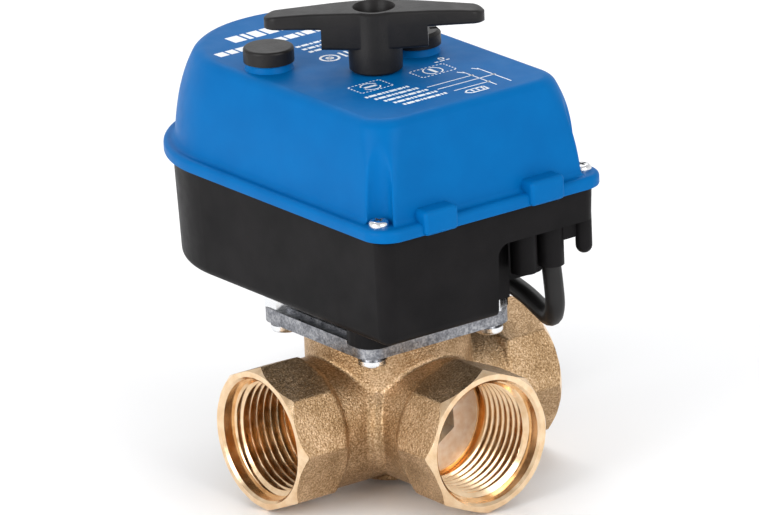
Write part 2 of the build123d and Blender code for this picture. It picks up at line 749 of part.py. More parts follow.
def core_arc(radius, first, last, z):
    """Line of one conductor lying on the coil's outer turn."""
    x, y = COIL_AT
    return Pos(x, y, z) * CenterArc((0, 0, 0), radius, first, last - first)


def cable_cores():
    """Three insulated cores at the cable's end."""
    z = FLOOR + 2 * CABLE_D + 0.9
    cores = []
    for k in range(3):
        arc = core_arc(COIL_MEAN_R + 0.6 + 1.9 * k, -60, -126 - 5 * k, z)
        section = Plane(origin=arc @ 0, z_dir=arc % 0) * Circle(0.9)
        cores.append(sweep(section, path=arc))
    return Compound(cores)


def core_ferrules():
    """Crimped wire ferrules on the ends of the cores."""
    z = FLOOR + 2 * CABLE_D + 0.9
    ferrules = []
    for k in range(3):
        arc = core_arc(COIL_MEAN_R + 0.6 + 1.9 * k, -126 - 5 * k, -142 - 5 * k, z)
        section = Plane(origin=arc @ 0, z_dir=arc % 0) * Circle(0.65)
        ferrules.append(sweep(section, path=arc))
    return Compound(ferrules)


PIECES = {
    "valve_body": valve_body,
    "seat_retainer": seat_retainer,
    "ball": ball,
    "stem": stem,
    "stem_o_rings": stem_o_rings,
    "thrust_washer": lambda: ring(7.2, STEM_R + RUN_FIT, 16.6, 17.6),
    "mounting_plate": mounting_plate,
    "plate_spacers": plate_spacers,
    "plate_screws": plate_screws,
    "pad_screws": pad_screws,
    "actuator_base": actuator_base,
    "cover_gasket": cover_gasket,
    "actuator_cover": actuator_cover,
    "cover_screws": cover_screws,
    "lower_gear_plate": lower_gear_plate,
    "upper_gear_plate": upper_gear_plate,
    "gearbox_pillars": gearbox_pillars,
    "gearbox_screws": gearbox_screws,
    "motor": motor,
    "motor_pinion": motor_pinion,
    "idler_axle": idler_axle,
    "idler_gear": idler_gear,
    "output_gear": output_gear,
    "output_shaft": output_shaft,
    "lower_bush": lower_bush,
    "shaft_seal": shaft_seal,
    "limit_cams": limit_cams,
    "limit_switches": limit_switches,
    "release_switch": release_switch,
    "selector_switch": selector_switch,
    "circuit_board": circuit_board,
    "board_posts": board_posts,
    "terminal_block": terminal_block,
    "terminal_screws": terminal_screws,
    "handle": handle,
    "handle_screw": handle_screw,
    "button_cap": button_cap,
    "button_plunger": button_plunger,
    "button_clip": button_clip,
    "button_spring": button_spring,
    "selector_knob": selector_knob,
    "selector_shaft": selector_shaft,
    "cable_gland": cable_gland,
    "cable": cable,
    "cable_coil": cable_coil,
    "cable_cores": cable_cores,
    "core_ferrules": core_ferrules,
}

for name, angle in PORT_ANGLES.items():
    write(f"ball_seat_{name}", seat(angle))
for name, make in PIECES.items():
    write(name, make())
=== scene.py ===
"""Looks of a motorised three-way zone valve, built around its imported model.

Shapes are written in millimetres with z = 0 on the port axes and are moved to
the model's own frame, in metres, when a piece is made.
"""
import json
import math

import bmesh
import bpy
import numpy as np
from mathutils import Matrix, Vector


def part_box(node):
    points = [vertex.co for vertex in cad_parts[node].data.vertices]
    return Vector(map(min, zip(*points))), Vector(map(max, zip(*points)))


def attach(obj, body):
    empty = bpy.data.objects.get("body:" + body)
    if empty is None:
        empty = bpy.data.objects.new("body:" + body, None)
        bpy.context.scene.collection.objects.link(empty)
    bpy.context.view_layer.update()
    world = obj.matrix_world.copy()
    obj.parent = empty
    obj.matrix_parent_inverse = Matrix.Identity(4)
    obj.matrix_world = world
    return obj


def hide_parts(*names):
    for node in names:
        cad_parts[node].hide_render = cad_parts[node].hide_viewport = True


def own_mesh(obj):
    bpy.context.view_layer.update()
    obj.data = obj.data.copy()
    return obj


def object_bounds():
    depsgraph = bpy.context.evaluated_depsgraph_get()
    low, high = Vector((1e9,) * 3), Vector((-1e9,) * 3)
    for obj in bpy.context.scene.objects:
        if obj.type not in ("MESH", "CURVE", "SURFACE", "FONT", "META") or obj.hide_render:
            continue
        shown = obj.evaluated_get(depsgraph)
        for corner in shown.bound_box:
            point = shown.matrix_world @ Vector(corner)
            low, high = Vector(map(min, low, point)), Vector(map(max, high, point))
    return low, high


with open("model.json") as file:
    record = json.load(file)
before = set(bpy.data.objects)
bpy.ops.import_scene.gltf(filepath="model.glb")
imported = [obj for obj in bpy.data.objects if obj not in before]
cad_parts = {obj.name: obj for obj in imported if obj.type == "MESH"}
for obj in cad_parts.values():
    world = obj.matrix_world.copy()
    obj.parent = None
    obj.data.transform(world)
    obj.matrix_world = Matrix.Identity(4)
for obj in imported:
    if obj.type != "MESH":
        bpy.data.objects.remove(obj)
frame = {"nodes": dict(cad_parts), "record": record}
cad_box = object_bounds()
nodes = frame["nodes"]

MM = 0.001
PORT_AXIS = 18.9             # port axes above the flat underside
FLOOR_Z = cad_box[0].z

# ---- valve ----
PORTS = {"run_left": 180, "run_right": 0, "branch": -90}    # degrees
PORT_REACH = 44.5            # port mouths from the stem's axis
PORT_CHAMFER = 0.7
MOUTH_CONE = [(19.2, 0.0), (24.0, -5.8), (24.0, 4.0)]       # cuts the collar's corners
NECK_R = 18.4
NECK_END = 30
COLLAR_CORNER_R = 20.66
COLLAR_START = 27.7
COLLAR_STATIONS = [34, 38, 42, 46]      # rings of its eight-sided part
SHOULDER_LENGTH = 3.4
SHOULDER_RISE = 2.9
PAD_R = 22.7
PAD_BOTTOM = 4
PAD_TOP = 24.1
FOOT_R = 10.5
WEB_R = 1.7                  # strip that fills the crease between two necks
WEB_RISE = 0.6
FORGING_VOXEL = 0.5
THREAD_START = 21.7
THREAD_TOP = 40.7
THREAD_PITCH = 2.309
THREAD_RELIEF = 1.2
THREAD_MINOR_R = 15.15
THREAD_MAJOR_R = 16.62
THREAD_CREST = 0.18          # share of the pitch that a crest or a root takes
COUNTERBORE_R = 17.0
BRANCH_BORE_R = 14.65
PASSAGE_R = 9.0
CAVITY_R = 15.0

# ---- actuator ----
ACT_X = 2.6                  # middle of the housing beside the stem's axis
FLANGE_BOTTOM = 65.0
FLANGE_TOP = 68.6
COVER_TOP = 95.5
COVER_WALL = 2.2
# Outlines: half width, front, middle of the half-round back, corner radius;
# the dome's rows end with their height.
FLANGE = (38.8, -48.2, 37.9, 7.5)
DOME = [
    (35.6, -44.9, 38.0, 5.0, 68.8),
    (34.9, -43.6, 37.0, 6.0, 79.0),
    (33.6, -41.4, 35.2, 7.5, 88.0),
    (31.4, -39.0, 33.0, 9.0, 95.5),
]
SCREW_POCKETS = [
    ((ACT_X - 34.2, -41.4), (math.sqrt(0.5), math.sqrt(0.5))),
    ((ACT_X + 34.2, -41.4), (-math.sqrt(0.5), math.sqrt(0.5))),
    ((ACT_X, 71.4), (0.0, -1.0)),
]
POCKET_R = 3.7               # screw pockets in the cover's wall
POCKET_REACH = 14            # a pocket shapes the wall only this near its screw
TABS = [(-22.0, -10.9), (13.7, 25.1)]       # from x to x, on the front
BUTTON_AT = (-19.8, 21.9)
SELECTOR_AT = (18.0, 6.0)
SPINDLE_HOLE_R = 2.1
SHAFT_HOLE_R = 4.6

# ---- print ----
PRINT_LOW = COVER_TOP - 0.02
PRINT_HIGH = COVER_TOP + 0.03
HAIRLINE = 0.35
ICON_R = 2.7

# ---- handle ----
HANDLE_ANGLE = -37.6
HANDLE_TOP = 113.5
WING_BOTTOM = 108.5
WEB_BOTTOM = 102.9
WING_STATIONS = [0, 3, 6, 9, 12.7, 17, 22, 26.2]
WING_HALVES = [6.5, 6.45, 6.2, 5.8, 5.3, 4.6, 4.1, 3.8]
TIP_LENGTH = 3.55
TIP_U = 29.75

# ---- cable, in metres and in the model's own frame ----
CABLE_D = 0.0054
CABLE_ROUTE = [
    (0.0280, -0.0380, 0.0619),
    (0.0284, -0.0384, 0.0553),
    (0.0286, -0.0386, 0.0492),
    (0.0299, -0.0350, 0.0448),
    (0.0318, -0.0280, 0.0455),
    (0.0338, -0.0185, 0.0471),
    (0.0360, -0.0050, 0.0479),
    (0.0372, 0.0095, 0.0471),
    (0.0362, 0.0240, 0.0402),
    (0.0326, 0.0370, 0.0274),
    (0.0284, 0.0480, 0.0139),
    (0.0252, 0.0585, 0.0069),
]
COIL_AT = (0.0546, 0.0570)
COIL_MEAN_R = 0.0270
COIL_ENTRY = math.radians(172)
COIL_TURNS = 3.66
CORE_R = 0.0009
CORE_SPREAD = 0.0012         # between two cores where they leave the sheath
CORE_STEP = 0.0019           # between two cores on the coil
FERRULE_R = 0.00065
FERRULE_LENGTH = 0.007


# ------------------------------------------------------------ camera
# Azimuth, elevation and roll in degrees; places in metres.
CAMERA_TURN = (-36.22, 18.87, -2.37)
CAMERA_DISTANCE = 2.609
CAMERA_AIM = (-0.00067, 0.00095, 0.06068)
CAMERA_LENS = 454.8


def make_camera():
    """Long lens at the height and side that the valve is usually shown from."""
    azimuth, elevation, roll = (math.radians(v) for v in CAMERA_TURN)
    flat = math.cos(elevation)
    back = Vector((math.sin(azimuth) * flat, -math.cos(azimuth) * flat, math.sin(elevation)))
    right = Vector((math.cos(azimuth), math.sin(azimuth), 0))
    up = back.cross(right)
    side = right * math.cos(roll) + up * math.sin(roll)
    top = up * math.cos(roll) - right * math.sin(roll)
    data = bpy.data.cameras.new("camera")
    data.lens = CAMERA_LENS
    data.sensor_width = 36
    data.clip_end = 20
    camera = bpy.data.objects.new("camera", data)
    bpy.context.scene.collection.objects.link(camera)
    place = Vector(CAMERA_AIM) + back * CAMERA_DISTANCE
    turn = Matrix((side, top, back)).transposed().to_4x4()
    camera.matrix_world = Matrix.Translation(place) @ turn
    bpy.context.scene.camera = camera


make_camera()


# ----------------------------------------------------------- materials
class Finish:
    """One material, and the patterns that the finishes share."""

    def __init__(self, name, colour, roughness, metallic=0.0):
        self.material = bpy.data.materials.new(name)
        self.material.use_nodes = True
        self.tree = self.material.node_tree
        self.shader = self.tree.nodes["Principled BSDF"]
        self.shader.inputs["Base Color"].default_value = (*colour, 1)
        self.shader.inputs["Roughness"].default_value = roughness
        self.shader.inputs["Metallic"].default_value = metallic
        self.shader.inputs["IOR"].default_value = 1.5
        self.coords = self.tree.nodes.new("ShaderNodeTexCoord").outputs["Object"]

    def noise(self, size, detail=3.0):
        """Noise whose lumps are about size millimetres across."""
        node = self.tree.nodes.new("ShaderNodeTexNoise")
        node.inputs["Scale"].default_value = 1 / (size * MM)
        node.inputs["Detail"].default_value = detail
        self.tree.links.new(self.coords, node.inputs["Vector"])
        return node.outputs["Fac"]

    def grain(self, size):
        """Rounded cells about size millimetres across, as blasting leaves."""
        node = self.tree.nodes.new("ShaderNodeTexVoronoi")
        node.feature = "SMOOTH_F1"
        node.inputs["Scale"].default_value = 1 / (size * MM)
        node.inputs["Smoothness"].default_value = 0.6
        self.tree.links.new(self.coords, node.inputs["Vector"])
        return node.outputs["Distance"]

    def mixed(self, first, second, share):
        """Two patterns as one; share is the second one's."""
        node = self.tree.nodes.new("ShaderNodeMix")
        node.inputs["Factor"].default_value = share
        self.tree.links.new(first, node.inputs[2])
        self.tree.links.new(second, node.inputs[3])
        return node.outputs[0]

    def colours(self, pattern, stops):
        """Colour that follows a pattern, from (position, colour) stops."""
        node = self.tree.nodes.new("ShaderNodeValToRGB")
        elements = node.color_ramp.elements
        while len(elements) < len(stops):
            elements.new(0.5)
        for element, (at, colour) in zip(elements, stops):
            element.position = at
            element.color = (*colour, 1)
        self.tree.links.new(pattern, node.inputs["Fac"])
        self.tree.links.new(node.outputs["Color"], self.shader.inputs["Base Color"])
        return self

    def dullness(self, pattern, low, high):
        """Roughness that follows a pattern."""
        node = self.tree.nodes.new("ShaderNodeMapRange")
        node.inputs["From Min"].default_value = 0.3
        node.inputs["From Max"].default_value = 0.7
        node.inputs["To Min"].default_value = low
        node.inputs["To Max"].default_value = high
        self.tree.links.new(pattern, node.inputs["Value"])
        self.tree.links.new(node.outputs["Result"], self.shader.inputs["Roughness"])
        return self

    def bump(self, pattern, height):
        """Unevenness of about height millimetres."""
        node = self.tree.nodes.new("ShaderNodeBump")
        node.inputs["Distance"].default_value = height * MM
        self.tree.links.new(pattern, node.inputs["Height"])
        self.tree.links.new(node.outputs["Normal"], self.shader.inputs["Normal"])
        return self


def forged_brass():
    """Shot-blasted forging, in grains of light and dark."""
    f = Finish("forged_brass", (0.55, 0.36, 0.16), 0.5, 1.0)
    blast = f.mixed(f.grain(0.55), f.noise(0.32, 4), 0.5)
    f.colours(f.mixed(f.noise(0.5, 5), f.noise(9, 2), 0.3), [
        (0.36, (0.25, 0.15, 0.07)), (0.5, (0.44, 0.29, 0.155)), (0.64, (0.7, 0.5, 0.32)),
    ])
    return f.dullness(f.noise(1.2), 0.42, 0.6).bump(blast, 0.22).material


def machined_brass():
    """Bright turned brass."""
    f = Finish("machined_brass", (0.85, 0.62, 0.38), 0.2, 1.0)
    f.colours(f.noise(3.0, 4), [(0.35, (0.8, 0.55, 0.32)), (0.65, (0.93, 0.7, 0.46))])
    return f.dullness(f.noise(3.0), 0.14, 0.26).bump(f.noise(1.2, 1), 0.002).material


def faced_brass_painted_light():
    """Flat turned face, duller than the threads, made paler as painted light where the retainer
    sits in the port's shade.
    """
    f = Finish("faced_brass_painted_light", (0.95, 0.8, 0.62), 0.42, 0.6)
    # Pale stops: painted light that brightens the shaded retainer.
    f.colours(f.noise(2.0, 4), [(0.35, (0.9, 0.72, 0.54)), (0.65, (1.0, 0.88, 0.74))])
    return f.dullness(f.noise(1.5), 0.36, 0.5).bump(f.noise(0.4, 2), 0.01).material


def polished_ball():
    """Chromed ball."""
    f = Finish("polished_ball", (0.86, 0.78, 0.66), 0.12, 1.0)
    return f.dullness(f.noise(4.0), 0.08, 0.2).bump(f.noise(6.0, 1), 0.01).material


def cast_zinc():
    """Die-cast zinc with flow marks."""
    f = Finish("cast_zinc", (0.5, 0.5, 0.52), 0.42, 1.0)
    f.colours(f.mixed(f.noise(0.6, 4), f.noise(2.5, 3), 0.5), [
        (0.38, (0.14, 0.145, 0.16)), (0.5, (0.25, 0.255, 0.275)), (0.62, (0.42, 0.425, 0.44)),
    ])
    return f.dullness(f.noise(1.5), 0.26, 0.44).bump(f.noise(0.45, 4), 0.05).material


def plated(name, colour, low=0.14, high=0.3):
    """Plated or bare sheet metal."""
    f = Finish(name, colour, low, 1.0)
    return f.dullness(f.noise(1.5), low, high).bump(f.noise(0.5, 2), 0.008).material


def moulded(name, dark, light, roughness, grain, height, gloss=0.5):
    """Plastic with the fine grain that a spark-eroded mould leaves."""
    f = Finish(name, light, roughness)
    f.shader.inputs["Specular IOR Level"].default_value = gloss
    f.colours(f.noise(14.0, 3), [(0.35, dark), (0.65, light)])
    pattern = f.mixed(f.noise(grain, 2), f.grain(grain * 1.6), 0.4)
    f.dullness(f.noise(5.0), roughness - 0.05, roughness + 0.05)
    return f.bump(pattern, height).material


def white_print():
    """Worn white ink."""
    f = Finish("white_print", (0.86, 0.88, 0.9), 0.5)
    f.colours(f.noise(0.8, 3), [(0.3, (0.72, 0.78, 0.86)), (0.55, (0.9, 0.92, 0.94))])
    return f.material


MATERIALS = {
    "forged_brass": forged_brass(),
    "machined_brass": machined_brass(),
    "polished_ball": polished_ball(),
    "ptfe": moulded("ptfe", (0.04, 0.036, 0.032), (0.06, 0.055, 0.05), 0.4, 0.5, 0.01, 0.3),
    "black_rubber": moulded("black_rubber", (0.01,) * 3, (0.016,) * 3, 0.6, 0.4, 0.02, 0.2),
    "cast_zinc": cast_zinc(),
    "zinc_screw": plated("zinc_screw", (0.82, 0.83, 0.84)),
    "black_housing": moulded(
        "black_housing", (0.007, 0.0066, 0.007), (0.0105, 0.0097, 0.0102), 0.44, 0.35, 0.02, 0.06
    ),
    "blue_cover": moulded(
        "blue_cover", (0.0, 0.112, 0.345), (0.0, 0.124, 0.372), 0.42, 0.4, 0.012, 0.05
    ),
    "black_knob": moulded(
        "black_knob", (0.009, 0.0085, 0.0085), (0.015, 0.0135, 0.0135), 0.4, 0.45, 0.05, 0.2
    ),
    "sheet_steel": plated("sheet_steel", (0.6, 0.61, 0.62), 0.25, 0.4),
    "bright_steel": plated("bright_steel", (0.7, 0.71, 0.72)),
    "black_steel": plated("black_steel", (0.06, 0.06, 0.06), 0.3, 0.45),
    "white_acetal": moulded("white_acetal", (0.78,) * 3, (0.86,) * 3, 0.35, 0.6, 0.008),
    "switch_body": moulded("switch_body", (0.03,) * 3, (0.045,) * 3, 0.4, 0.5, 0.01),
    "board_green": moulded(
        "board_green", (0.01, 0.08, 0.035), (0.015, 0.11, 0.05), 0.3, 1.0, 0.01
    ),
    "terminal_grey": moulded("terminal_grey", (0.25,) * 3, (0.32,) * 3, 0.4, 0.6, 0.01),
    "cable_sheath": moulded(
        "cable_sheath", (0.01, 0.0095, 0.0095), (0.016, 0.015, 0.015), 0.42, 0.5, 0.02, 0.25
    ),
    "core_insulation": moulded(
        "core_insulation", (0.16, 0.06, 0.02), (0.2, 0.08, 0.03), 0.35, 0.6, 0.005
    ),
    "tinned_copper": plated("tinned_copper", (0.72, 0.7, 0.68), 0.2, 0.35),
}
CORE_COLOURS = [(0.012, 0.012, 0.013), (0.02, 0.1, 0.42), (0.18, 0.07, 0.025)]

for subpart in frame["record"]["subparts"]:
    carried = nodes[subpart["node"]]
    carried.data.materials.clear()
    carried.data.materials.append(MATERIALS[subpart["material_slot"]])
# Paler brass on the seat retainer: painted light for the shade inside its port.
nodes["seat_retainer"].data.materials[0] = faced_brass_painted_light()


# -------------------------------------------------------- mesh helpers
def skin(rings):
    """Points and faces through rings of equal length, with capped ends."""
    count = len(rings[0])
    last = (len(rings) - 1) * count
    faces = []
    for low in range(0, last, count):
        high = low + count
        for k in range(count):
            after = (k + 1) % count
            faces.append((low + k, low + after, high + after, high + k))
    faces.append(tuple(reversed(range(count))))
    faces.append(tuple(range(last, last + count)))
    return np.vstack(rings), faces


def circle(r, z, segments, x=0.0, y=0.0):
    """Level ring of points."""
    a = np.linspace(0, 2 * np.pi, segments, endpoint=False)
    return np.column_stack([x + r * np.cos(a), y + r * np.sin(a), np.full(segments, z)])


def turned(profile, segments=96, x=0.0, y=0.0):
    """Solid of revolution about a vertical line, from (radius, height) points."""
    return skin([circle(r, z, segments, x, y) for r, z in profile])


def toward_port(solid, angle):
    """Turn a solid made along +Z so that it points out of a port."""
    points, faces = solid
    x, y, z = points[:, 2], points[:, 1], -points[:, 0]
    c, s = math.cos(math.radians(angle)), math.sin(math.radians(angle))
    return np.column_stack([c * x - s * y, s * x + c * y, z]), faces


def joined(*solids):
    """Several solids as one list of points and one of faces."""
    points, faces, start = [], [], 0
    for more_points, more_faces in solids:
        points.append(more_points)
        faces += [tuple(k + start for k in face) for face in more_faces]
        start += len(more_points)
    return np.vstack(points), faces


def raw(name, solid, *materials):
    """Object from a solid in millimetres, moved into the model's frame."""
    points, faces = solid
    mesh = bpy.data.meshes.new(name)
    lifted = (np.asarray(points) + (0, 0, PORT_AXIS)) * MM
    mesh.from_pydata(lifted.tolist(), [], faces)
    edit = bmesh.new()
    edit.from_mesh(mesh)
    bmesh.ops.remove_doubles(edit, verts=edit.verts, dist=1e-6)
    bmesh.ops.recalc_face_normals(edit, faces=edit.faces)
    edit.to_mesh(mesh)
    edit.free()
    for material in materials:
        mesh.materials.append(MATERIALS[material])
    made = bpy.data.objects.new(name, mesh)
    bpy.context.scene.collection.objects.link(made)
    return made


def settle(made):
    """Apply every modifier of an object to its mesh."""
    graph = bpy.context.evaluated_depsgraph_get()
    mesh = bpy.data.meshes.new_from_object(made.evaluated_get(graph))
    made.modifiers.clear()
    made.data = mesh
    return made


def combine(made, tool, operation="DIFFERENCE"):
    """Cut a tool out of an object or add it, and remove the tool."""
    modifier = made.modifiers.new("combine", "BOOLEAN")
    modifier.operation = operation
    modifier.solver = "MANIFOLD"
    modifier.object = tool
    settle(made)
    bpy.data.objects.remove(tool)
    return made


def bevel(made, width):
    """Round an object's sharp edges."""
    modifier = made.modifiers.new("bevel", "BEVEL")
    modifier.width = width * MM
    modifier.segments = 4
    modifier.limit_method = "ANGLE"
    modifier.angle_limit = math.radians(40)
    return settle(made)


def finish_piece(made, body="root", stands_for=(), sharp=32):
    """Smooth shading, the body and the nodes it stands for."""
    made.data.shade_smooth()
    made.data.set_sharp_from_angle(angle=math.radians(sharp))
    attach(made, body)
    if stands_for:
        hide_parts(*stands_for)
    return made


def box_solid(x0, x1, y0, y1, z0, z1):
    """Upright block between pairs of planes."""
    corners = ((x0, y0), (x1, y0), (x1, y1), (x0, y1))
    return skin([np.array([(x, y, z) for x, y in corners], float) for z in (z0, z1)])


# --------------------------------------------------------------- cable
def smooth_step(t):
    """0 to 1 with a level start and end."""
    t = min(max(t, 0.0), 1.0)
    return t * t * (3 - 2 * t)


def round_coil(r, angle, z):
    """Point at a distance and an angle from the coil's middle."""
    return COIL_AT[0] + r * math.cos(angle), COIL_AT[1] + r * math.sin(angle), z


def coil_points():
    """Turns two beside and two on each other; they roll round as they change place."""
    per_turn, change = 20, 0.2
    bundle = CABLE_D * math.sqrt(0.5)
    middle = FLOOR_Z + CABLE_D
    lift = bundle - CABLE_D / 2
    points = []
    for step in range(1, int(COIL_TURNS * per_turn) + 1):
        turn, part = divmod(step, per_turn)
        share = part / per_turn
        roll = smooth_step((share - 1 + change) / change)
        place = math.radians(45 - 90 * (turn + roll))
        z = middle + bundle * math.sin(place) + lift * math.sin(math.pi * roll)
        angle = COIL_ENTRY - 2 * math.pi * (turn + share)
        points.append(round_coil(COIL_MEAN_R + bundle * math.cos(place), angle, z))
    return points


def smooth_curve(name, points, radius, material, resolution):
    """Round cord on the root body, whose line is one smooth spline."""
    data = bpy.data.curves.new(name, "CURVE")
    data.dimensions = "3D"
    data.resolution_u = resolution
    data.bevel_depth = radius
    data.bevel_resolution = 5
    data.use_fill_caps = True
    spline = data.splines.new("NURBS")
    spline.points.add(len(points) - 1)
    for point, place in zip(spline.points, points):
        point.co = (*place, 1)
    spline.order_u = 3
    spline.use_endpoint_u = True
    data.materials.append(material)
    made = bpy.data.objects.new(name, data)
    bpy.context.scene.collection.objects.link(made)
    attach(made, "root")
    return made


def core_points(k, end, along):
    """Line of one core, from inside the sheath's end to the top of the coil."""
    out = Vector((end.x - COIL_AT[0], end.y - COIL_AT[1], 0)).normalized()
    start = math.atan2(end.y - COIL_AT[1], end.x - COIL_AT[0])
    lying_r = COIL_MEAN_R + 0.0006 + CORE_STEP * k
    lying_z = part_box("cable_coil")[1].z + CORE_R
    points = [
        end - along * 0.002 + out * CORE_SPREAD * (k - 1),
        end + along * 0.003 + out * (CORE_SPREAD * (k - 1) + 0.0003),
    ]
    for step in range(2, 9):
        angle = start - math.radians(8.2 + 0.6 * k) * step
        rise = smooth_step((step - 1) / 2.5)
        r = (1 - rise) * math.dist(COIL_AT, end.xy) + rise * lying_r
        points.append(Vector(round_coil(r, angle, (1 - rise) * end.z + rise * lying_z)))
    return points


def make_cable():
    """Power cable with its coil, and three bare cores with ferrules."""
    route = CABLE_ROUTE + coil_points()
    cable = smooth_curve(
        "power_cable", route, CABLE_D / 2, MATERIALS["cable_sheath"], 6
    )
    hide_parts("cable", "cable_coil")
    end = Vector(route[-1])
    along = (end - Vector(route[-2])).normalized()
    cores, ferrules = [], []
    for k, colour in enumerate(CORE_COLOURS):
        finish = Finish(f"core_{k + 1}", colour, 0.35)
        finish.bump(finish.noise(0.6), 0.005)
        points = core_points(k, end, along)
        cores.append(smooth_curve(
            f"cable_core_{k + 1}", points, CORE_R, finish.material, 4
        ))
        tip = points[-1] + (points[-1] - points[-2]).normalized() * FERRULE_LENGTH
        ferrules.append(smooth_curve(
            f"core_ferrule_{k + 1}", [points[-1], (points[-1] + tip) / 2, tip], FERRULE_R,
            MATERIALS["tinned_copper"], 2,
        ))
    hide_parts("cable_cores")
    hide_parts("core_ferrules")


make_cable()


# ---------------------------------------------------------- valve body
def octagon_radius(angle):
    """Distance to the flat of the eight-sided collar at an angle."""
    eighth = math.pi / 4
    return COLLAR_CORNER_R * math.cos(eighth / 2) / np.cos((angle % eighth) - eighth / 2)


def collar(angle):
    """Eight-sided collar that swells out of its neck in a round shoulder."""
    a = np.linspace(0, 2 * np.pi, 160, endpoint=False)
    rings = []
    for z in [*np.linspace(COLLAR_START, COLLAR_START + 3.6, 10), *COLLAR_STATIONS]:
        rise = min(1.0, (z - COLLAR_START) / SHOULDER_LENGTH)
        shoulder = NECK_R - 0.4 + SHOULDER_RISE * math.sin(rise * math.pi / 2)
        r = np.minimum(octagon_radius(a), shoulder)
        rings.append(np.column_stack([r * np.cos(a), r * np.sin(a), np.full(len(a), z)]))
    return toward_port(skin(rings), angle)


def forging():
    """Rough forging: necks, pad, foot boss, collars and corner webs, blended."""
    solids = [
        toward_port(turned([(NECK_R, -NECK_END), (NECK_R, NECK_END)]), PORTS["run_right"]),
        toward_port(turned([(NECK_R, 0), (NECK_R, NECK_END)]), PORTS["branch"]),
        turned([(PAD_R, PAD_BOTTOM), (PAD_R, PAD_TOP)], 128),
        turned([(FOOT_R, -PORT_AXIS), (FOOT_R, 0)]),
    ]
    for side in (-1, 1):
        rings = []
        for z in np.linspace(-12.5, 12.0, 26):
            crease = math.sqrt(NECK_R ** 2 - z ** 2) + WEB_RISE
            rings.append(circle(WEB_R, z, 24, side * crease, -crease))
        solids.append(skin(rings))
    solids += [collar(angle) for angle in PORTS.values()]
    body = raw("valve_forging", joined(*solids), "forged_brass", "machined_brass")
    remesh = body.modifiers.new("remesh", "REMESH")
    remesh.mode = "VOXEL"
    remesh.voxel_size = FORGING_VOXEL * MM
    smooth = body.modifiers.new("smooth", "SMOOTH")
    smooth.factor = 0.5
    smooth.iterations = 4
    return settle(body)


def port_tool(angle, passage_r):
    """Everything that is turned away at a port: bore, mouth and mouth cone."""
    seat = THREAD_START - THREAD_RELIEF
    profile = [
        (passage_r, 8), (passage_r, seat), (COUNTERBORE_R, seat),
        (COUNTERBORE_R, PORT_REACH - PORT_CHAMFER), (COUNTERBORE_R + PORT_CHAMFER, PORT_REACH),
        *((r, PORT_REACH + past) for r, past in MOUTH_CONE),
    ]
    return raw("tool", toward_port(turned(profile, 192), angle), "machined_brass")


def thread_sleeve(angle):
    """Whitworth thread swept along its helix, with a lead-in cone."""
    per_turn, around = 12, 120
    steps = int((THREAD_TOP - THREAD_START + THREAD_PITCH) / THREAD_PITCH * per_turn) + 2
    turn = np.linspace(0, 1, around + 1)

    def ring(r, z):
        return np.column_stack([r * np.cos(turn * 2 * np.pi), r * np.sin(turn * 2 * np.pi), z])

    rows = []
    for step in range(steps):
        z = THREAD_START - THREAD_PITCH + step * THREAD_PITCH / per_turn + turn * THREAD_PITCH
        z = np.clip(z, THREAD_START, THREAD_TOP)
        phase = np.abs(((z - THREAD_START) / THREAD_PITCH - turn) % 1.0 - 0.5) * 2
        depth = np.clip((phase - THREAD_CREST) / (1 - 2 * THREAD_CREST), 0, 1)
        depth = depth * 0.94 + 0.06 * np.sin(depth * math.pi / 2)
        r = THREAD_MINOR_R + (THREAD_MAJOR_R - THREAD_MINOR_R) * depth
        rows.append(ring(np.maximum(r, THREAD_MINOR_R + z - THREAD_TOP + 1.2), z))
    for z in (THREAD_TOP, THREAD_START):
        rows.append(ring(COUNTERBORE_R + 0.05, np.full(around + 1, z)))
    count = around + 1
    faces = []
    for level in range(len(rows)):
        low, high = level * count, (level + 1) % len(rows) * count
        faces += [(low + k, low + k + 1, high + k + 1, high + k) for k in range(around)]
    return toward_port((np.vstack(rows), faces), angle)


def make_valve():
    """Forging with its ports and its round inside turned out, and the threads."""
    body = forging()
    for name, angle in PORTS.items():
        combine(body, port_tool(angle, BRANCH_BORE_R if name == "branch" else PASSAGE_R))
    cavity = np.linspace(3.1, 0.04, 40)
    cavity = [(CAVITY_R * math.sin(t), CAVITY_R * math.cos(t)) for t in cavity]
    combine(body, raw("tool", turned(cavity), "machined_brass"))
    finish_piece(body, stands_for=["valve_body"], sharp=30)
    for name, angle in PORTS.items():
        sleeve = raw(f"thread_{name}", thread_sleeve(angle), "machined_brass")
        finish_piece(sleeve, sharp=28)


make_valve()


# --------------------------------------------------------------- cover
def cosine_steps(start, end, count):
    """Inner points of a line, closer together near its ends."""
    share = (1 - np.cos(np.linspace(0, math.pi, count + 2)[1:-1])) / 2
    return start + (end - start) * share


def outline(half, front, centre_y, corner, z):
    """D-shaped outline, with the same number of points for every size."""
    left, right = ACT_X - half, ACT_X + half

    def turn(x, y, r, first, last, count):
        angles = np.linspace(first * math.pi, last * math.pi, count)
        return [(x + r * math.cos(a), y + r * math.sin(a)) for a in angles]

    rows = turn(ACT_X, centre_y, half, 0, 1, 140)
    rows += [(left, y) for y in cosine_steps(centre_y, front + corner, 60)]
    rows += turn(left + corner, front + corner, corner, 1, 1.5, 60)
    rows += [(x, front) for x in cosine_steps(left + corner, right - corner, 90)]
    rows += turn(right - corner, front + corner, corner, 1.5, 2, 60)
    rows += [(right, y) for y in cosine_steps(front + corner, centre_y, 60)]
    flat = np.array(rows)
    return np.column_stack([flat, np.full(len(flat), z)])


# Each measure of the dome's outline as a cubic of the height.
DOME_CURVES = [
    np.polyfit([row[4] for row in DOME], [row[k] for row in DOME], 3) for k in range(4)
]


def dome_outline(z, grow):
    """Outline of the dome at a height, made larger all round."""
    half, front, centre_y, corner = (np.polyval(curve, z) for curve in DOME_CURVES)
    return outline(half + grow, front - grow, centre_y, max(corner + grow, 0.6), z)


def flange_outline(inset, z):
    """Outline of the flange, made smaller all round."""
    half, front, centre_y, corner = FLANGE
    return outline(half - inset, front + inset, centre_y, corner - inset, z)


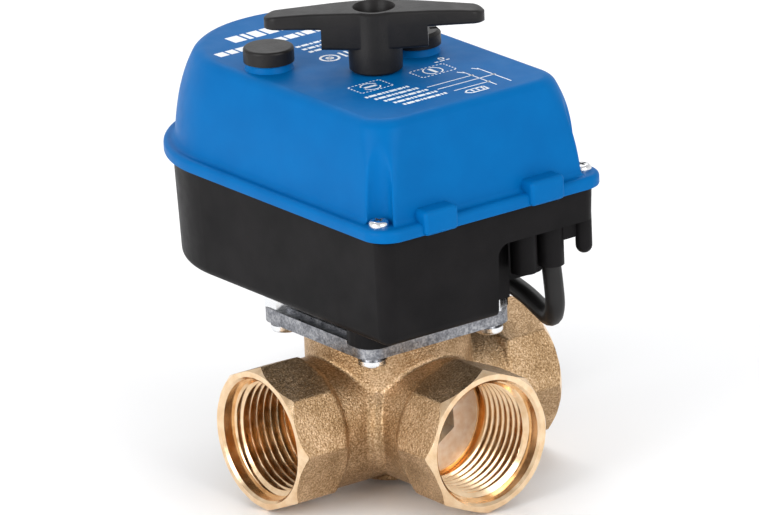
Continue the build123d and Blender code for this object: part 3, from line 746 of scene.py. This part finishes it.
def pocketed(points, grow):
    """Push the wall back round the screws, as their pockets do."""
    reach, soft = POCKET_R + grow, 1.0
    for centre, direction in SCREW_POCKETS:
        centre, direction = np.array(centre), np.array(direction)
        offset = points[:, :2] - centre
        along = offset @ direction
        across = np.abs(offset @ np.array([-direction[1], direction[0]]))
        chord = np.sqrt(np.maximum(reach ** 2 - across ** 2, 0))
        wall = chord - 3 * np.maximum(across - reach, 0) - along
        push = 0.5 * (wall + np.sqrt(wall ** 2 + soft ** 2))
        near = np.hypot(*offset.T) < POCKET_REACH
        points[:, :2] += np.outer(np.where(near, push, 0), direction)
    return points


def cover_shell():
    """Hollow cover as one skin: up the inside, over the flange and up the dome."""
    edge_r, crease_r, top_r = 1.4, 1.3, 2.4
    quarter = np.linspace(0, math.pi / 2, 7)
    inner = [dome_outline(z, -COVER_WALL) for z in np.linspace(COVER_TOP - COVER_WALL, 69.5, 14)]
    inner.append(flange_outline(5.2, FLANGE_BOTTOM))
    inner = [pocketed(ring, 1.9) for ring in inner]
    flange = [
        flange_outline(inset, FLANGE_BOTTOM + rise)
        for inset, rise in ((0.5, 0.0), (0.15, 0.15), (0.0, 0.5))
    ]
    for a in quarter:
        inset = edge_r * (1 - math.cos(a))
        flange.append(flange_outline(inset, FLANGE_TOP - edge_r * (1 - math.sin(a))))
    wall = []
    for a in quarter:
        z = FLANGE_TOP + crease_r * (1 - math.cos(a))
        wall.append(dome_outline(z, crease_r * (1 - math.sin(a))))
    for z in np.linspace(FLANGE_TOP + crease_r, COVER_TOP - top_r, 34)[1:]:
        wall.append(dome_outline(z, 0))
    for a in np.linspace(0, math.pi / 2, 12)[1:]:
        z = COVER_TOP - top_r * (1 - math.sin(a))
        wall.append(dome_outline(z, -top_r * (1 - math.cos(a))))
    wall = [pocketed(ring, 0) for ring in wall]
    return skin(inner + flange + wall)


def make_cover():
    """Blue cover with its front tabs, collars and holes for the spindles."""
    cover = raw("cover_shell", cover_shell(), "blue_cover")
    for x0, x1 in TABS:
        tab = raw("tool", box_solid(x0, x1, -49.5, -42.0, FLANGE_BOTTOM, 71.9), "blue_cover")
        combine(cover, bevel(tab, 1.2), "UNION")
    collar_profile = [(6.9, -1.0), (6.8, 0.0), (6.45, 0.5), (6.35, 1.4), (6.0, 1.85)]
    rim = [(r, COVER_TOP + rise) for r, rise in collar_profile]
    for x, y in (BUTTON_AT, SELECTOR_AT):
        combine(cover, raw("tool", turned(rim, 72, x, y), "blue_cover"), "UNION")
    holes = (0, 0, SHAFT_HOLE_R), (*BUTTON_AT, SPINDLE_HOLE_R), (*SELECTOR_AT, SPINDLE_HOLE_R)
    for x, y, r in holes:
        combine(cover, raw("tool", turned([(r, 90), (r, 99)], 48, x, y), "blue_cover"))
    finish_piece(cover, stands_for=["actuator_cover"], sharp=38)


make_cover()


# --------------------------------------------------------------- print
def stroke(start, end, width):
    """Printed line as a thin flat bar."""
    a, b = np.array(start, float), np.array(end, float)
    along = (b - a) / max(np.linalg.norm(b - a), 1e-9)
    side = np.array([-along[1], along[0]]) * width / 2
    corners = [a - side, b - side, b + side, a + side]
    return skin([np.array([(*p, z) for p in corners]) for z in (PRINT_LOW, PRINT_HIGH)])


def path(points, width):
    """Strokes through a row of points."""
    return [stroke(a, b, width) for a, b in zip(points, points[1:])]


def arc(x, y, r, first=0, last=360, steps=18):
    """Points along part of a circle, between two angles in degrees."""
    angles = np.radians(np.linspace(first, last, steps))
    return [(x + r * math.cos(a), y + r * math.sin(a)) for a in angles]


def dashes(x0, x1, y, lengths, height, gap):
    """Row of short bars that stands in for a line of small print."""
    bars, x, k = [], x0, 0
    while x + lengths[k % len(lengths)] <= x1:
        length = lengths[k % len(lengths)]
        bars.append(stroke((x, y), (x + length, y), height))
        x += length + gap
        k += 1
    return bars


def flow_icon(x, y, across, deep, turn):
    """Dashed frame round a ring with a bar across it: a flow position mark."""
    marks = []
    for k in range(9):
        step = across * (k + 0.25) / 9 - across / 2
        for side in (-deep / 2, deep / 2):
            start = x + step, y + side
            marks.append(stroke(start, (x + step + across / 18, y + side), HAIRLINE))
    for k in range(5):
        step = deep * (k + 0.25) / 5 - deep / 2
        for side in (-across / 2, across / 2):
            start = x + side, y + step
            marks.append(stroke(start, (x + side, y + step + deep / 10), HAIRLINE))
    marks += path(arc(x, y, ICON_R, turn + 20, turn + 160), 0.4)
    marks += path(arc(x, y, ICON_R, turn + 200, turn + 340), 0.4)
    c, s = 2.0 * math.cos(math.radians(turn)), 2.0 * math.sin(math.radians(turn))
    marks.append(stroke((x - c, y - s), (x + c, y + s), 1.0))
    return marks


def blank_lines():
    """Bars in place of the lines of print."""
    marks = dashes(-13.5, 12, 48.5, (4.0, 1.4, 3.4, 3.4), 5.2, 0.9)
    marks += dashes(-24, 14, 40.0, (3.0, 2.6, 3.2, 1.2, 3.0), 3.4, 0.7)
    for k in range(3):
        marks += dashes(-4, 9, 31.0 - 3.0 * k, (1.4, 2.2, 0.9, 1.8), 1.3, 0.5)
    marks += dashes(15.2, 22.0, -6.2, (1.1, 1.6), 0.5, 0.55)
    for k in range(5):
        x0, x1, y = -17 + 1.0 * k, -1.0 + 0.8 * k, -17.8 - 2.9 * k
        marks += dashes(x0, x1, y, (0.8, 2.4, 1.4, 0.6), 1.25, 0.4)
    return marks


def plain_rings():
    """Ring with a dot and two bars by the handle, and a small ring by the knob."""
    marks = path(arc(-3.0, 17.0, 2.6), 0.7) + path(arc(-3.0, 17.0, 0.8, steps=9), 0.9)
    marks += [stroke((x, 14.8), (x, 19.2), 0.8) for x in (1.4, 3.4)]
    return marks + path(arc(18.6, -4.4, 0.7), 0.5)


def wiring_lines():
    """Three leads to two switched conductors, and a plug outline below them."""
    marks = []
    inner_x, outer_x = 15.6, 20.5
    for y, x0, x1 in ((-22.0, 0.5, inner_x), (-25.4, 1.5, outer_x), (-29.4, 4.0, inner_x)):
        marks.append(stroke((x0, y), (x1, y), HAIRLINE))
        marks += path(arc(x1, y, 0.35, steps=9), 0.5)
    for x in (inner_x, outer_x):
        marks.append(stroke((x, -18.0), (x, -33.0), HAIRLINE))
        marks.append(stroke((x - 1.2, -17.0), (x, -19.4), HAIRLINE))
    marks += path([
        (6.5, -31.6), (12.0, -31.6), (12.0, -34.2), (6.5, -34.2), (5.2, -32.9), (6.5, -31.6),
    ], 0.5)
    return marks + [stroke((x, -31.6), (x, -33.6), 0.5) for x in (7.6, 9.3, 11.0)]


def make_print():
    """White marks on the cover, as one sheet of thin bars."""
    marks = flow_icon(-10.1, -10.8, 10.6, 6.6, 0) + flow_icon(10.5, -11.4, 11.4, 6.4, 90)
    marks += blank_lines() + plain_rings() + wiring_lines()
    sheet = raw("cover_print", joined(*marks))
    sheet.data.materials.append(white_print())
    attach(sheet, "root")


make_print()


# -------------------------------------------------------------- handle
def wing_half_width(u):
    """Half width of the wings at a distance from the middle."""
    away = abs(u)
    last, end_half = WING_STATIONS[-1], WING_HALVES[-1]
    if away > last:
        return end_half * math.sqrt(max(1 - ((away - last) / TIP_LENGTH) ** 2, 0.0016))
    return np.interp(away, WING_STATIONS, WING_HALVES)


def bar(stations, bottom, edge, shrink=0.0):
    """Bar along the handle with a crowned top and rounded edges."""
    rings = []
    for u in stations:
        half = wing_half_width(u) - shrink
        crown = 1.25 * (u / 28) ** 2
        droop = 0.8 * max(0, (abs(u) - 26.5) / 3.3) ** 2
        top = HANDLE_TOP - shrink - crown - droop
        r = min(edge, half * 0.6)
        loop = []
        for cv, cz, first in (
            (half - r, bottom + r, -90), (half - r, top - r, 0),
            (-half + r, top - r, 90), (-half + r, bottom + r, 180),
        ):
            for a in np.radians(np.linspace(first, first + 90, 6)):
                loop.append((u, cv + r * math.cos(a), cz + r * math.sin(a)))
        rings.append(np.array(loop))
    return skin(rings)


def wing_stations():
    """Stations along the wings, close together at the rounded tips."""
    tip = 3.6 * (1 - np.cos(np.linspace(0.02, math.pi / 2, 14)))
    return np.concatenate([tip - TIP_U, np.linspace(-25.5, 25.5, 44), (TIP_U - tip)[::-1]])


def make_handle():
    """T-handle: wings, the web below them, and a hub with a sunk screw hole."""
    handle = raw("hand_lever", bar(wing_stations(), WING_BOTTOM, 0.9), "black_knob")
    web_stations = [-14.4, -14.25, -13.9, *np.linspace(-13.4, 13.4, 24), 13.9, 14.25, 14.4]
    web = raw("tool", bar(web_stations, WEB_BOTTOM, 1.0, 0.02), "black_knob")
    combine(handle, web, "UNION")
    hub = [(6.7, 95.85), (7.25, 96.4), (7.4, 102.7), (7.35, 103.0), (7.35, 112.8), (6.7, 113.4)]
    combine(handle, raw("tool", turned(hub, 96), "black_knob"), "UNION")
    screw_sink = [(2.7, 100), (2.7, 109.2), (4.6, 109.6), (5.3, 112.6), (5.9, 113.6), (5.9, 116)]
    combine(handle, raw("tool", turned(screw_sink, 72), "black_knob"))
    shaft_socket = [(4.5, 94), (4.5, 106.0)]
    combine(handle, raw("tool", turned(shaft_socket, 48), "black_knob"))
    handle.data.transform(Matrix.Rotation(math.radians(HANDLE_ANGLE), 4, "Z"))
    finish_piece(handle, "drive_line", ["handle"], 34)


make_handle()


def make_button_spring():
    """Wire spring under the button's cap, made at one length, though the real one shortens as
    the button goes down.
    """
    low, high, coil_r, wire_r, turns, travel = 94.5, 100.4, 3.7, 0.42, 4.0, 1.6
    around = np.linspace(0, 2 * np.pi, 10, endpoint=False)
    r = coil_r + wire_r * np.cos(around)
    rings = []
    for t in np.linspace(0, 1, 160):
        # The first and the last part of the wire lie flat, as closed end coils do.
        spread = min(max((t - 0.15) / 0.7, 0), 1)
        z = low + wire_r + (high - low - 2 * wire_r) * spread
        turn = 2 * math.pi * turns * t
        rings.append(np.column_stack([
            BUTTON_AT[0] + r * math.cos(turn), BUTTON_AT[1] + r * math.sin(turn),
            z + wire_r * np.sin(around),
        ]))
    spring = raw("button_return_spring", skin(rings), "bright_steel")
    finish_piece(spring, stands_for=["button_spring"], sharp=60)
    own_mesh(spring)


make_button_spring()


# ------------------------------------------------------- floor and light
def make_stage():
    """Pale floor at the height of the part's lowest point."""
    bpy.ops.mesh.primitive_plane_add(size=6, location=(0, 0, FLOOR_Z))
    floor = bpy.context.object
    floor.name = "floor"
    pale = Finish("pale_floor", (0.96, 0.96, 0.96), 0.7)
    pale.colours(pale.noise(400, 2), [(0.3, (0.95,) * 3), (0.7, (0.97,) * 3)])
    floor.data.materials.append(pale.material)


# Soft boxes: azimuth and elevation in degrees, distance and size in metres, watts.
LIGHTS = {
    "left_box": (-85, 18, 1.2, 0.8, 9),
    "front_box": (5, 25, 1.4, 0.8, 8),
    "back_box": (150, 50, 1.3, 0.9, 6),
}
LIGHT_AIM = (0, 0, 0.06)


def soft_light(name, azimuth, elevation, distance, size, power):
    """Square softbox aimed at the middle of the valve."""
    a, e = math.radians(azimuth), math.radians(elevation)
    back = Vector((math.sin(a) * math.cos(e), -math.cos(a) * math.cos(e), math.sin(e)))
    data = bpy.data.lights.new(name, "AREA")
    data.energy = power
    data.size = size
    lamp = bpy.data.objects.new(name, data)
    lamp.location = Vector(LIGHT_AIM) + back * distance
    lamp.rotation_mode = "QUATERNION"
    lamp.rotation_quaternion = (-back).to_track_quat("-Z", "Y")
    bpy.context.scene.collection.objects.link(lamp)


def make_light():
    """White room that darkens overhead, and soft boxes at the sides."""
    world = bpy.data.worlds.new("studio")
    bpy.context.scene.world = world
    world.use_nodes = True
    tree = world.node_tree
    coords = tree.nodes.new("ShaderNodeTexCoord")
    split = tree.nodes.new("ShaderNodeSeparateXYZ")
    ramp = tree.nodes.new("ShaderNodeValToRGB")
    stops = ramp.color_ramp.elements
    stops[0].position, stops[0].color = 0.25, (1.0, 1.0, 1.0, 1)
    stops[1].position, stops[1].color = 0.75, (0.66, 0.66, 0.67, 1)
    tree.links.new(coords.outputs["Generated"], split.inputs["Vector"])
    tree.links.new(split.outputs["Z"], ramp.inputs["Fac"])
    background = tree.nodes["Background"]
    tree.links.new(ramp.outputs["Color"], background.inputs["Color"])
    background.inputs["Strength"].default_value = 0.9
    for name, settings in LIGHTS.items():
        soft_light(name, *settings)
    bpy.context.scene.view_settings.view_transform = "Standard"


make_stage()
make_light()
